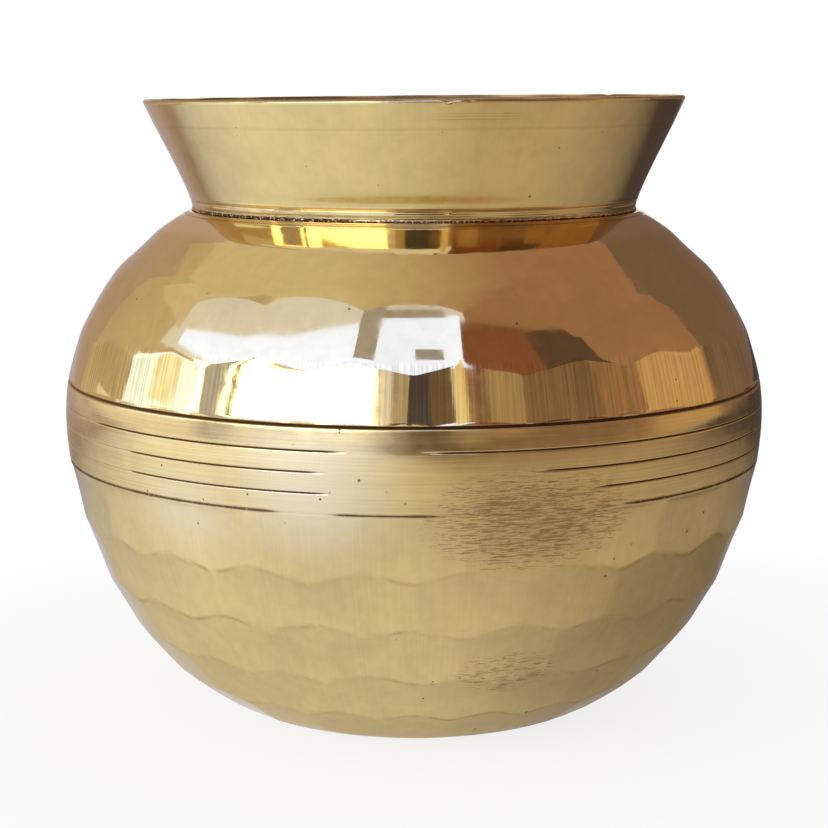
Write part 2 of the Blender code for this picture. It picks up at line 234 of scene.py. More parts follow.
ANGLES = np.linspace(BASE_ANGLE, SEAT_ANGLE, OUTLINE_SAMPLES)
WALL_RADII, WALL_HEIGHTS = wall_point(ANGLES)
WALKS = np.concatenate([[0.0], np.cumsum(np.hypot(np.diff(WALL_RADII), np.diff(WALL_HEIGHTS)))])


def wall_at(walk, inset=0.0):
    """Radius and height at a distance walked up the wall from the base's edge."""
    return inset_point(np.interp(walk, WALKS, ANGLES), inset)


def wall_radius(height):
    return np.interp(height, WALL_HEIGHTS, WALL_RADII)


SEAT_HEIGHT = float(WALL_HEIGHTS[-1])
SEAT_WALK = float(WALKS[-1])
SEAM_HEIGHT = BELLY_HEIGHT - BELLY_SEAM_DROP
SEAM_WALK = float(np.interp(SEAM_HEIGHT, WALL_HEIGHTS, WALKS))
GROOVE_WALKS = [SEAM_WALK + GROOVE_PITCH * step for step in (1, 2, 3)]
TOP_GROOVE_WALK = GROOVE_WALKS[-1] + TOP_GROOVE_PITCH
BAND_TOP = TOP_GROOVE_WALK + 0.5 * TOP_GROOVE_WIDTH
ROW_TOP = BAND_TOP + CUT_ROW
CROWN_LINE = ROW_TOP + ROW_STEP
FLANGE_RADIUS = NECK_RADIUS - WALL - LAP_GAP
TONGUE_RADIUS = min(wall_radius(SEAM_HEIGHT), wall_radius(TONGUE_TOP)) - WALL - LAP_GAP

SHOULDER_ROWS = [(ROW_TOP - 0.5 * ROW_STEP, 0.5), (ROW_TOP + 0.5 * ROW_STEP, 0.0)]
BOWL_MARK_ROWS = [(SEAM_WALK - ROW_STEP * (row + 0.5), 0.5 * (row % 2)) for row in range(BOWL_ROWS)]


def swell(walk):
    """How far the shoulder stands off its plain outline: raised by the neck, coved, then raised again."""
    below = SEAT_WALK - walk
    ledge = np.interp(below, SWELL_AT, SWELL_BY)
    cove = np.clip((below - COVE_START) / (COVE_END - COVE_START), 0.0, 1.0)
    return ledge - COVE_DEPTH * 4.0 * cove * (1.0 - cove)


def spaced(start, end, steps):
    """Values after start, up to and with end, in equal steps."""
    return [start + (end - start) * i / steps for i in range(1, steps + 1)]


def smooth_step(value):
    share = np.clip(value, 0.0, 1.0)
    return share * share * (3.0 - 2.0 * share)


def between(value, first, last, fade_in, fade_out):
    """1 well inside a stretch and 0 outside it, with a smooth fade at either end."""
    return smooth_step((value - first) / fade_in) * smooth_step((last - value) / fade_out)


def turns(count=SEGMENTS):
    """Turn of each column of vertices about +Z, and the same in degrees from the front, to the right."""
    turn = np.arange(count) * (2.0 * math.pi / count)
    return turn, (np.degrees(turn - FRONT) + 180.0) % 360.0 - 180.0


def left_open(degrees, wear):
    """How much of a turned line or seam is left, from 0 where it is buffed away to 1."""
    kept = np.ones_like(degrees)
    for first, last, worn in wear:
        kept *= 1.0 - worn * between(degrees, first, last, WEAR_FADE, WEAR_FADE)
    return kept


def patched(walk, degrees):
    """How strongly each place is scraped, and buffed with a painted pale sheen, from 0 to 1."""
    height = wall_at(walk)[1]

    def strongest(patches, hardness):
        most = np.zeros(height.shape)
        for turn, reach, middle, half_height, strength in patches:
            away = np.hypot((degrees - turn) / reach, (height - middle) / half_height)
            most = np.maximum(most, strength * smooth_step(hardness * (1.0 - away)))
        return most
    return {"scraped": strongest(SCRAPES, SCRAPE_EDGE), "buffed": strongest(BUFFINGS_WITH_SHEEN, 1.0)}


# Hammering
def hammer_field(walk, turn, rows, dents):
    """Depth of the hammering, how near a place is to a ridge between marks, and its lie in its mark.

    The lie is -1 at the lower edge of a mark and 1 at its upper edge.
    """
    depths, lies = [], []
    for (middle, shift), dent in zip(rows, dents):
        column = MARKS_AROUND * (turn - FRONT) / (2.0 * math.pi) + shift
        along = 2.0 * (walk - middle) / ROW_STEP
        row_depth = np.full_like(walk, -1.0)
        for neighbour in (0, 1):
            index = np.floor(column).astype(int) + neighbour
            across = 2.0 * (column - index)
            gain, lean, tip = (part[index % MARKS_AROUND] for part in dent)
            depth = MARK_DEPTH * gain + lean * across + tip * along
            depth = depth - MARK_SIDE_RISE * across ** 2 - MARK_EDGE_RISE * along ** 2
            row_depth = np.maximum(row_depth, depth)
        depths.append(row_depth)
        lies.append(np.clip(along, -1.0, 1.0))
    order = np.argsort(depths, axis=0)
    ranked = np.take_along_axis(np.array(depths), order, axis=0)
    lie = np.take_along_axis(np.array(lies), order, axis=0)[-1]
    deepest, second = np.maximum(ranked[-1], 0.0), ranked[-2]
    lead = np.abs(deepest - second)
    softened = deepest + RIDGE_SOFTNESS * np.log1p(np.exp(-lead / RIDGE_SOFTNESS))
    dished = ranked[-1] > 0.0
    ridge = np.exp(-(lead / CREASE_WIDTH) ** 2)
    return softened, np.where(dished, ridge, 0.0), np.where(dished, lie, 0.0)


def dents_for(rows, rng):
    """For each row the depth gain, sideways lean and upward tip of its marks."""
    def spread(reach):
        return rng.uniform(-reach, reach, MARKS_AROUND)
    return [(1.0 + spread(MARK_SPREAD), spread(MARK_LEAN), spread(MARK_LEAN)) for _ in rows]


def ripple(walk, turn, rng):
    """Slow unevenness of beaten sheet, as a sum of waves round and along the wall."""
    total = np.zeros_like(walk)
    for _ in range(RIPPLE_WAVES):
        around = rng.integers(*RIPPLE_AROUND)
        along = rng.uniform(*RIPPLE_ALONG) / MM
        phase, start = rng.uniform(0.0, 2.0 * math.pi, 2)
        total += np.cos(around * turn + phase) * np.cos(along * walk + start)
    return RIPPLE * total / math.sqrt(RIPPLE_WAVES)


def ragged(count, rng, reach):
    """Uneven line round the pot, between -1 and 1, whose bumps are about reach columns long."""
    line = rng.normal(size=count)
    kernel = np.exp(-(np.arange(-3 * reach, 3 * reach + 1) / reach) ** 2)
    wrapped = np.concatenate([line[-3 * reach:], line, line[:3 * reach]])
    smooth = np.convolve(wrapped, kernel, mode="valid")
    return smooth / np.abs(smooth).max()


def varied(shares, line):
    """Usual share, varied along an uneven line."""
    usual, spread = shares
    return usual + spread * line


def beaten(walks, edges, rows, turn, rng):
    """Places along the wall in rows that follow the marks' scalloped edges, their turns and the hammering."""
    walks = np.array(walks)
    swing = np.interp(walks, [edge for edge, _ in edges], [SCALLOP * way for _, way in edges])
    walk = walks[:, None] + swing[:, None] * np.cos(MARKS_AROUND * (turn - FRONT))[None, :]
    turn = np.broadcast_to(turn, walk.shape)
    return walk, turn, *hammer_field(walk, turn, rows, dents_for(rows, rng))


# Meshes
class Rings:
    """Rings of vertices down the outside of a piece and up its inside, with a value for each mark."""

    MARKS = ("tarnish", "ridge", "lie", "inside", "turned", "scraped", "buffed", "polished", "heated")

    def __init__(self, count=SEGMENTS):
        self.count = count
        self.turn, self.degrees = turns(count)
        self.radius, self.height, self.marks = [], [], {key: [] for key in self.MARKS}

    def add(self, radius, height, **marks):
        """Add rings, each value a number, a list down the rows, an array round a ring or rows by columns."""
        def shaped(values):
            values = np.asarray(values, float)
            one_ring = values.shape == (self.count,)
            return values if values.ndim == 2 else values.reshape((1, -1) if one_ring else (-1, 1))
        rows = max(len(shaped(radius)), len(shaped(height)))

        def spread(values):
            return np.broadcast_to(shaped(values), (rows, self.count))
        self.radius.append(spread(radius))
        self.height.append(spread(height))
        for key in self.MARKS:
            self.marks[key].append(spread(marks.get(key, 0.0)))

    def mesh(self, name, closed=True):
        """Mesh of the rings; one that isn't closed on itself is closed at the axis."""
        radius, height = np.concatenate(self.radius), np.concatenate(self.height)
        marks = {key: np.concatenate(rows).reshape(-1) for key, rows in self.marks.items()}
        rings, count = radius.shape
        points = np.stack([radius * np.cos(self.turn), radius * np.sin(self.turn), height], axis=-1)
        points = points.reshape(-1, 3)
        row, column = np.meshgrid(np.arange(rings if closed else rings - 1), np.arange(count), indexing="ij")
        below, beside = (row + 1) % rings, (column + 1) % count
        corners = [row * count + column, below * count + column, below * count + beside, row * count + beside]
        faces = np.stack(corners, axis=-1).reshape(-1, 4).tolist()
        if not closed:
            first, last, foot = len(points), len(points) + 1, (rings - 1) * count
            points = np.concatenate([points, [[0.0, 0.0, height[0].mean()], [0.0, 0.0, height[-1].mean()]]])
            faces += [[first, j, (j + 1) % count] for j in range(count)]
            faces += [[last, foot + (j + 1) % count, foot + j] for j in range(count)]
            marks = {key: np.concatenate([value, [value[0], value[-1]]]) for key, value in marks.items()}
        mesh = bpy.data.meshes.new(name)
        mesh.from_pydata(points.tolist(), [], faces)
        for key, value in marks.items():
            mesh.attributes.new(key, "FLOAT", "POINT").data.foreach_set("value", value.astype(np.float32))
        mesh.shade_smooth()
        mesh.set_sharp_from_angle(angle=SHARP_ANGLE)
        return mesh


def add_object(name, data):
    added = bpy.data.objects.new(name, data)
    bpy.context.scene.collection.objects.link(added)
    return added


def add_piece(rings, node, material, closed=True):
    """Put a fine mesh in the place of its CAD node."""
    piece = add_object("brass_" + node, rings.mesh(node + "_fine", closed))
    piece.data.materials.append(material)
    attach(piece, "root")
    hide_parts(node)
    return piece


def half_seam(degrees, rng, count):
    """Half the height of the belly seam's dark line, round the pot."""
    rough = 1.0 + SEAM_UNEVEN * ragged(count, rng, 2)
    return WORN_GAP + 0.5 * SEAM_LINE * left_open(degrees, SEAM_WEAR) * rough


def seam_edge(rings, side, half, **marks):
    """Add the strip above the belly seam, or with a side of -1 below it, which runs into its ragged line."""
    for share in spaced(0.0, 1.0, BAND_ROWS)[::side]:
        walk = SEAM_WALK + side * ((1.0 - share) * EDGE_MARGIN + share * half)
        tarnish = share ** 3 * half / SEAM_LINE
        rings.add(*wall_at(walk), tarnish=tarnish, **marks, **patched(walk, rings.degrees))


# Pieces
KNEE_RISE = FOOT_SWEEP * (math.sin(KNEE_ANGLE) - math.sin(FOOT_ANGLE))
LIP_TOP = LIP_HEIGHT + LIP_LIFT
COLLAR_RISES = np.linspace(0.0, LIP_TOP - COLLAR_FOOT, OUTLINE_SAMPLES)
LEAN_SINES = (math.sin(FOOT_ANGLE) + np.minimum(COLLAR_RISES, KNEE_RISE) / FOOT_SWEEP
              + np.maximum(COLLAR_RISES - KNEE_RISE, 0.0) / FLARE_SWEEP)
LEANS = np.arcsin(np.minimum(LEAN_SINES, math.sin(FLARE_ANGLE)))
COLLAR_RADII = NECK_RADIUS + np.cumsum(np.tan(LEANS)) * COLLAR_RISES[1]


def collar_radius(height, wall=0.0):
    """Radius of the collar's flank, wall inside the outside."""
    heights = COLLAR_FOOT + COLLAR_RISES + wall * np.sin(LEANS)
    return np.interp(height, heights, COLLAR_RADII - wall * np.cos(LEANS))


LIP_RADIUS = float(collar_radius(LIP_TOP))


def soldered_side(degrees):
    """Where the neck seam is at its roughest, from 0 to 1: most of its left front."""
    return between(degrees, *ROUGH_STRETCH, *ROUGH_FADES)


def seam_roughness(degrees):
    return SMOOTH_SHARE + (1.0 - SMOOTH_SHARE) * soldered_side(degrees)


def foot_grime(heights, degrees):
    """Grime on the collar's foot beside the seam, in crumbs that reach higher where the seam is rough."""
    rng = np.random.default_rng(SEED + 1)
    reach = FOOT_GRIME * seam_roughness(degrees) * (1.0 + GRIME_UNEVEN * ragged(len(degrees), rng, 2))
    over = heights[:, None] - SEAT_HEIGHT - NECK_LINE
    crumbs = np.array([ragged(len(degrees), rng, 1) for _ in heights])
    return smooth_step(1.0 - over / reach) * varied(GRIME_TONES, crumbs)


def worn_beads(count):
    """How much of the beads on the collar's foot is left, round the pot, from 0 to 1."""
    line = ragged(count, np.random.default_rng(SEED + 2), BEAD_WEAR)
    return smooth_step(varied(BEADS_LEFT, line))


def hump(height, middle, half_width):
    """Smooth rise and fall about a middle, from 0 to 1."""
    return np.cos(0.5 * math.pi * np.clip((height - middle) / half_width, -1.0, 1.0)) ** 2


def neck_collar(rng, material):
    rings = Rings()
    foot = SEAT_HEIGHT + NECK_LINE + 2.0 * WORN_GAP
    foot_top = SEAT_HEIGHT + FOOT_TOP
    break_height = LIP_TOP - BREAK_DROP
    flank_top = LIP_TOP - LIP_ROUND
    hair_rows = [LIP_TOP - drop + side * HAIR_WIDTH for drop in HAIRLINES for side in (1, 0, -1)]
    heights = [flank_top] + spaced(flank_top, foot_top, FLANK_ROWS) + spaced(foot_top, foot, FOOT_ROWS)
    heights = np.array(sorted(heights + hair_rows, reverse=True))

    def steeper(rows):
        return BREAK_INSET * np.clip((rows - break_height) / BREAK_DROP, 0.0, None)
    middle, half_width, depth = FOOT_GROOVE
    groove = hump(heights, SEAT_HEIGHT + middle, half_width)
    tarnish = BREAK_TARNISH * hump(heights, break_height, BREAK_WIDTH) + GROOVE_TARNISH * groove
    radius = (collar_radius(heights) - steeper(heights) - depth * groove)[:, None]
    for middle, half_width, rise in FOOT_BEADS:
        bead = rise * hump(heights, SEAT_HEIGHT + middle, half_width)
        radius = radius + bead[:, None] * worn_beads(SEGMENTS)

    hairs = sum(hump(heights, LIP_TOP - drop, HAIR_WIDTH) for drop in HAIRLINES)[:, None]
    hairs = HAIR_TARNISH * hairs * (1.0 - left_open(rings.degrees, (HAIR_STRETCH,)))
    tarnish = np.clip(tarnish[:, None] + foot_grime(heights, rings.degrees) + hairs, 0.0, 1.0)

    lean = np.tan(LIP_TILT) * np.cos(rings.turn) * -LIP_RADIUS
    uneven = ragged(SEGMENTS, rng, LIP_WAVE_REACH)
    dip = LIP_WAVE * uneven
    grime = LIP_GRIME * smooth_step(LIP_UNRUBBED + uneven)
    for turn, half_width, depth in LIP_NICKS:
        away = np.radians((rings.degrees - turn + 180.0) % 360.0 - 180.0) * LIP_RADIUS
        dip = dip - depth * MM * np.exp(-(away / (half_width * MM)) ** 2)

    def raised(rows, edge):
        """Heights with the lip's lean, and near the edge its dips."""
        share = np.clip((rows - foot) / (LIP_TOP - foot), 0.0, 1.0)
        return rows[:, None] + share[:, None] ** 2 * lean + edge * dip

    arc = np.linspace(0.0, 0.5 * math.pi, LIP_ROWS)
    sines, cosines = LIP_ROUND * np.sin(arc), LIP_ROUND * np.cos(arc)
    lip_middle = collar_radius(flank_top) - steeper(flank_top) - LIP_ROUND
    rings.add(lip_middle + sines, raised(flank_top + cosines, 1.0),
              tarnish=grime[None, :] * np.cos(arc)[:, None])
    rings.add(radius[1:], raised(heights[1:], 0.0), tarnish=tarnish[1:])
    inside = np.array([foot] + spaced(foot, flank_top, INSIDE_ROWS["collar"]))
    rings.add(collar_radius(inside, WALL) - steeper(inside), raised(inside, 0.0), inside=1.0,
              tarnish=LIP_GRIME * smooth_step(1.0 - (flank_top - inside) / GRIME_REACH))
    rings.add(lip_middle - cosines[1:], raised(flank_top + sines[1:], 1.0), inside=0.5, tarnish=grime)
    return add_piece(rings, "neck_collar", material)


def neck_braze(rng, material):
    rings = Rings(2 * SEGMENTS)
    inner = FLANGE_RADIUS + LAP_CLEARANCE
    outer = inner + LAP_FILM
    low, high = SEAT_HEIGHT + WORN_GAP, SEAT_HEIGHT + NECK_LINE
    rough = seam_roughness(rings.degrees)
    rings.add([inner, outer, outer], [NECK_FILM_TOP, NECK_FILM_TOP, high])
    for angle in np.linspace(0.5 * math.pi, -0.5 * math.pi, BEAD_ROWS):
        crumb = ragged(2 * SEGMENTS, rng, 2) + COARSE_CRUMBS * ragged(2 * SEGMENTS, rng, 5)
        stand = NECK_BEAD * math.cos(angle) * varied(BEAD_SHARES, rough * crumb)
        sag = BEAD_SAG * rough * ragged(2 * SEGMENTS, rng, 3) * math.cos(angle)
        height = 0.5 * (low + high) + 0.5 * (high - low) * math.sin(angle) + sag
        lower_half = smooth_step(1.0 - 2.0 * math.sin(angle))
        brown = np.maximum(soldered_side(rings.degrees), BEAD_BROWN * lower_half)
        rings.add(NECK_RADIUS + stand - BEAD_SINK, height, tarnish=brown)
    rings.add(inner, low)
    return add_piece(rings, "neck_braze", material)


def shoulder_shell(rng, material, half):
    rings = Rings()
    rings.add(FLANGE_RADIUS, [FLANGE_TOP, SEAT_HEIGHT])

    seat_foot = SEAT_WALK - 2.0 * SEAT_LINE
    edges = [(BAND_TOP, 0), (ROW_TOP, -1), (CROWN_LINE, 1), (seat_foot, 0)]
    dished = [SEAT_WALK] + spaced(SEAT_WALK, seat_foot, SEAT_ROWS) + spaced(seat_foot, CROWN_LINE, CROWN_ROWS)
    dished += spaced(CROWN_LINE, ROW_TOP, SHOULDER_MARK_ROWS) + spaced(ROW_TOP, BAND_TOP, CUT_MARK_ROWS)
    walk, turn, depth, ridge, lie = beaten(dished, edges, SHOULDER_ROWS, rings.turn, rng)
    seat_line = hump(walk, SEAT_WALK - SEAT_LINE, SEAT_LINE_WIDTH)
    calm = between(walk, BAND_TOP, SEAT_WALK, *RIPPLE_FADES[::-1])
    depth = depth + SEAT_LINE_DEPTH * seat_line + calm * ripple(walk, turn, rng) - swell(walk)
    tarnish = SEAT_TARNISH * (seat_line + smooth_step(1.0 - (SEAT_WALK - walk) / SEAT_GRIME))
    polished = smooth_step((walk - ROW_TOP) / MM)
    # painted reflection: paler brass on the strip below the seat, which mirrors the collar
    heated = smooth_step(REFLECTION_PAINT_EDGE * (1.0 - (SEAT_WALK - walk) / REFLECTION_PAINT_REACH))
    rings.add(*wall_at(walk, depth), tarnish=tarnish, ridge=ridge, lie=lie, polished=polished, heated=heated)

    grooves = [(TOP_GROOVE_WALK, TOP_GROOVE_WIDTH, TOP_GROOVE_DEPTH, ())]
    fine = [(place, GROOVE_WIDTH, GROOVE_DEPTH, wear) for place, wear in zip(GROOVE_WALKS, GROOVE_WEAR)]
    grooves += fine[::-1]
    places = [BAND_TOP]
    for place, width, _, _ in grooves:
        if place < TOP_GROOVE_WALK:
            places += spaced(places[-1], place + ACROSS_GROOVE[0] * width, BAND_ROWS)[:-1]
        places += [place + width * share for share in ACROSS_GROOVE if place + width * share < places[-1]]
    places = np.array(places[1:] + spaced(places[-1], SEAM_WALK + EDGE_MARGIN, BAND_ROWS))
    walk = np.broadcast_to(places[:, None], (len(places), SEGMENTS))
    cut, tarnish = np.zeros(walk.shape), np.zeros(walk.shape)
    for place, width, deep, wear in grooves:
        kept = left_open(rings.degrees, wear)[None, :]
        shape = hump(walk, place, 0.5 * width) * kept
        cut = cut + deep * shape
        tarnish = np.maximum(tarnish, shape)
    rings.add(*wall_at(walk, cut), tarnish=tarnish, turned=1.0, **patched(walk, rings.degrees))

    seam_edge(rings, 1, half, turned=1.0)
    rings.add(wall_radius(SEAM_HEIGHT) - WALL, SEAM_HEIGHT + half, inside=1.0)
    edge_angle = float(np.interp(SEAM_WALK, WALKS, ANGLES))
    inside = inset_point(np.array(spaced(edge_angle, SEAT_ANGLE, INSIDE_ROWS["shoulder"])), WALL)
    rings.add(*inside, inside=1.0)
    rings.add(FLANGE_RADIUS - WALL, [inside[1][-1], FLANGE_TOP], inside=1.0)
    return add_piece(rings, "shoulder_shell", material)


def belly_braze(rng, material, half):
    rings = Rings()
    inner = TONGUE_RADIUS + LAP_CLEARANCE
    outer = inner + LAP_FILM
    kept = left_open(rings.degrees, SEAM_WEAR)
    recess = SEAM_RECESS * kept * varied(RECESS_SHARES, ragged(SEGMENTS, rng, 2))
    rings.add([inner, outer], BELLY_FILM_TOP)
    top, bottom = SEAM_HEIGHT + half - WORN_GAP, SEAM_HEIGHT - half + WORN_GAP
    rings.add(outer, top)
    for share in (1.0, 0.5, 0.0):
        height = bottom + share * (top - bottom)
        rings.add(wall_radius(height) - recess, height, tarnish=kept)
    rings.add(inner, bottom)
    return add_piece(rings, "belly_braze", material)


def lower_bowl(rng, material, half):
    rings = Rings()
    joggle = float(np.interp(SEAM_HEIGHT - WALL - JOGGLE_DROP, WALL_HEIGHTS, ANGLES))
    rings.add(spaced(0.0, BASE_RADIUS, BASE_ROWS), WALL, inside=1.0)
    rings.add(*inset_point(np.array(spaced(BASE_ANGLE, joggle, INSIDE_ROWS["bowl"])), WALL), inside=1.0)
    rings.add(TONGUE_RADIUS - WALL, [SEAM_HEIGHT - WALL, TONGUE_TOP], inside=1.0)
    rings.add(TONGUE_RADIUS, TONGUE_TOP, inside=1.0)
    rings.add(TONGUE_RADIUS, SEAM_HEIGHT - half, inside=1.0)

    seam_edge(rings, -1, half)
    edge = SEAM_WALK - EDGE_MARGIN
    edges = [(0.0, 0)]
    edges += [(SEAM_WALK - ROW_STEP * row, (-1) ** row if row else 0) for row in range(BOWL_ROWS, -1, -1)]
    dished = [edge] + spaced(edge, SEAM_WALK - ROW_STEP, BOWL_MARK_STEPS - 1)
    for row in range(1, BOWL_ROWS):
        dished += spaced(SEAM_WALK - row * ROW_STEP, SEAM_WALK - (row + 1) * ROW_STEP, BOWL_MARK_STEPS)
    dished += spaced(SEAM_WALK - BOWL_ROWS * ROW_STEP, 0.0, FOOT_OF_BOWL_ROWS)
    walk, turn, depth, ridge, lie = beaten(dished, edges, BOWL_MARK_ROWS, rings.turn, rng)
    calm = between(walk, 0.0, SEAM_WALK, *RIPPLE_FADES)
    depth = BOWL_GAIN * depth * smooth_step((SEAM_WALK - walk) / SEAM_FLUSH)
    depth = depth + calm * ripple(walk, turn, rng)
    rings.add(*wall_at(walk, depth), ridge=ridge, lie=lie, **patched(walk, rings.degrees))
    rings.add(spaced(BASE_RADIUS, 0.0, FOOT_OF_BOWL_ROWS)[:-1], 0.0)
    return add_piece(rings, "lower_bowl", material, closed=False)


# Finish
BRASS = (0.7, 0.54, 0.23)
BOWL_BRASS = (0.7, 0.545, 0.245)
PALE_BRASS = (0.8, 0.66, 0.36)
BROWN = (0.12, 0.06, 0.022)
UMBER = (0.3, 0.17, 0.06)
# darker inside: tarnish of the unpolished inside, and painted shade of the hollow
INSIDE_BRASS = (0.42, 0.27, 0.1)
SPELTER = (0.16, 0.085, 0.035)
NECK_SPELTER = (0.12, 0.06, 0.028)
SCRAPED = (0.2, 0.095, 0.035)
RUBBED = (0.52, 0.34, 0.15)
# pale colour of the buffed patches: a painted sheen that stands in for the window's soft reflection
BUFFED_SHEEN = (0.88, 0.78, 0.56)
# paler brass for the strip below the seat, a painted reflection of the collar
REFLECTION_PAINT = (0.82, 0.63, 0.34)
EDGE_TINT = (0.84, 0.77, 0.64)  # share of the light that the brass keeps at a glancing angle

# Noise in the finish: cells per metre, or cells per radian round the pot and per metre up it
PATCH_CELLS = 60.0
CLOUD_CELLS = 420.0
PIT_CELLS = 620.0
CRUMB_CELLS = 2600.0
STREAK_CELLS = (170.0, 45.0)
RING_CELLS = (2.5, 3200.0)
DASHES = ((19.0, 4600.0, 0.51, 0.59), (34.0, 6200.0, 0.53, 0.61))  # and where a dash begins and is full
PATCH_SPAN = (0.3, 0.7)  # values of the noise between which patches and clouds go from dark to light
LINE_SPAN = (0.32, 0.68)  # the same for streaks and rings
RIDGE_SPAN = (0.4, 0.6)  # patches in which the ridges get their colour
PIT_SPAN = (0.5, 0.58)  # patches that have specks
PIT_RADIUS = 0.18  # largest speck, in cells
PIT_ODDS = 0.18  # share of the cells with a speck
DASH_THINNING = 0.1  # how far the dashes thin out towards the edge of a scrape
DASH_EDGE = 0.2  # strength of a scrape from which its dashes are full
GRAIN_SPAN = (0.45, 0.68)  # spelter's grain
BIT_FADE = 0.08  # edge of its bright bits, the painted glints

# Heights in metres of what is too fine for the mesh
TURNED_RING = 4.0e-6
SCRATCH_HEIGHT = -1.8e-5
PIT_HEIGHT = -2.0e-5
CRUMB_HEIGHT = 6.0e-5

# Tones, and how far each colour covers the metal
RING_TONE = 0.07
LIE_PAINTED_SHADES = (0.03, -0.05)  # painted light and shade at the lower and upper edge of a hammer mark
RIDGE_SHARES = (0.1, 0.5)
COVERS = (  # each over those before it
    ("heated", 0.85, REFLECTION_PAINT), ("buffed", 0.75, BUFFED_SHEEN), ("scraped", 0.4, RUBBED),
    # the inside cover is partly painted shade of the hollow
    ("scratches", 0.58, SCRAPED), ("inside", 0.7, INSIDE_BRASS), ("tarnish", 1.3, BROWN),
    ("pits", 0.8, BROWN))
COVER_MOST = 0.95
GRAIN_SHARE = 0.55
BIT_SHARE = 0.9

# Roughness
ROUGH_SPREAD = (-0.02, 0.03)
ROUGHER = {"turned": 0.11, "scraped": 0.06, "buffed": 0.16, "tarnish": 0.35, "inside": 0.15, "pits": 0.3}
SPELTER_ROUGHNESS = (0.2, 0.5)  # buffed flush, and crumbly
TURNED_GRAIN = 0.75  # how much further the turned band spreads light across its lines than along
TURNED_RUBBING = 0.6  # how far turning has taken the rubbed streaks away


class Nodes:
    """Builder of one node tree; its methods take and give sockets or plain values."""

    def __init__(self, tree):
        self.tree = tree

    def add(self, kind, *values, operation=None, **named):
        """New shader node with its inputs linked or set, in order or by name."""
        node = self.tree.nodes.new("ShaderNode" + kind)
        if operation:
            node.operation = operation
        for key, value in [*enumerate(values), *named.items()]:
            self.put(node.inputs[key], value)
        return node

    def put(self, socket, value):
        if isinstance(value, bpy.types.NodeSocket):
            self.tree.links.new(value, socket)
        elif isinstance(value, tuple) and socket.type == "RGBA":
            socket.default_value = (*value, 1.0)
        else:
            socket.default_value = value

    def math(self, operation, *values):
        return self.add("Math", *values, operation=operation).outputs[0]

    def vector(self, operation, *values, **named):
        return self.add("VectorMath", *values, operation=operation, **named).outputs[0]

    def chain(self, operation, values):
        result, *others = values
        for value in others:
            result = self.math(operation, result, value)
        return result

    def total(self, *values):
        return self.chain("ADD", values)

    def scaled(self, *values):
        return self.chain("MULTIPLY", values)

    def span(self, value, low, high, to_low=0.0, to_high=1.0):
        """Value brought smoothly from one span to another."""
        node = self.add("MapRange", value, low, high, to_low, to_high)
        node.interpolation_type = "SMOOTHSTEP"
        return node.outputs["Result"]

    def blend(self, share, first, second, blending="MIX"):
        node = self.add("Mix")
        node.data_type = "RGBA"
        node.blend_type = blending
        for socket, value in zip((node.inputs[0], *node.inputs[6:8]), (share, first, second)):
            self.put(socket, value)
        return node.outputs[2]

    def split_place(self):
        """X, Y and Z of a place on the object."""
        place = self.add("TexCoord")
        return self.add("SeparateXYZ", place.outputs["Object"]).outputs

    def away_from(self, axes, middle):
        """Distance along the ground from a place."""
        sides = [self.math("SUBTRACT", axes[axis], place) for axis, place in zip("XY", middle)]
        return self.math("SQRT", self.total(*(self.scaled(side, side) for side in sides)))

    def ramp(self, value, stops):
        """Colour that follows stops along a value."""
        first, last = stops[0][0], stops[-1][0]
        share = self.add("MapRange", value, first, last)
        colours = self.add("ValToRGB", share.outputs["Result"])
        elements = colours.color_ramp.elements
        while len(elements) < len(stops):
            elements.new(0.5)
        for element, (at, colour) in zip(elements, stops):
            element.position = (at - first) / (last - first)
            element.color = (*colour, 1.0)
        return colours.outputs["Color"]

    def looking(self):
        """1 for camera, mirrored and transmitted rays, else 0."""
        rays = self.add("LightPath").outputs
        kinds = "Is Camera Ray", "Is Glossy Ray", "Is Transmission Ray"
        return self.chain("MAXIMUM", [rays[kind] for kind in kinds])


class Paint(Nodes):
    """Node tree of one metal finish."""

    def __init__(self, name):
        self.material = bpy.data.materials.new(name)
        self.material.use_nodes = True
        super().__init__(self.material.node_tree)
        self.inputs = self.tree.nodes["Principled BSDF"].inputs
        self.put(self.inputs["Metallic"], 1.0)
        self.put(self.inputs["Specular Tint"], EDGE_TINT)
        self.place = self.add("TexCoord").outputs["Object"]
        self.parts = self.add("SeparateXYZ", self.place).outputs
        flat = self.add("CombineXYZ", self.parts["X"], self.parts["Y"])
        self.around = self.vector("NORMALIZE", flat.outputs[0])

    def mark(self, name):
        node = self.add("Attribute")
        node.attribute_name = name
        return node.outputs["Fac"]

    def noise(self, vector, scale=1.0, detail=2.0):
        return self.add("TexNoise", Vector=vector, Scale=scale, Detail=detail).outputs["Fac"]

    def drawn(self, across, along):
        """Place stretched so that noise makes lines: cells per radian round the pot, and per metre up it."""
        wide = self.vector("SCALE", self.around, Scale=across)
        rise = self.add("CombineXYZ", Z=self.scaled(self.parts["Z"], along))
        return self.vector("ADD", wide, rise.outputs[0])

    def spots(self, scale, radius, share):
        """Round specks on a share of the cells of a grid."""
        cells = self.add("TexVoronoi", Vector=self.place, Scale=scale)
        pick = self.add("SeparateColor", cells.outputs["Color"])
        chosen = self.math("LESS_THAN", pick.outputs[0], share)
        size = self.scaled(pick.outputs[1], radius)
        near = self.math("LESS_THAN", cells.outputs["Distance"], size)
        return self.scaled(chosen, near)

    def spared(self, *values):
        """What the greatest of some values leaves of 1."""
        return self.math("SUBTRACT", 1.0, self.chain("MAXIMUM", values))

    def finish(self, colour, roughness, height):
        bump = self.add("Bump", Strength=1.0, Distance=1.0, Height=height)
        self.put(self.inputs["Base Color"], colour)
        self.put(self.inputs["Roughness"], roughness)
        self.put(self.inputs["Normal"], bump.outputs[0])
        return self.material


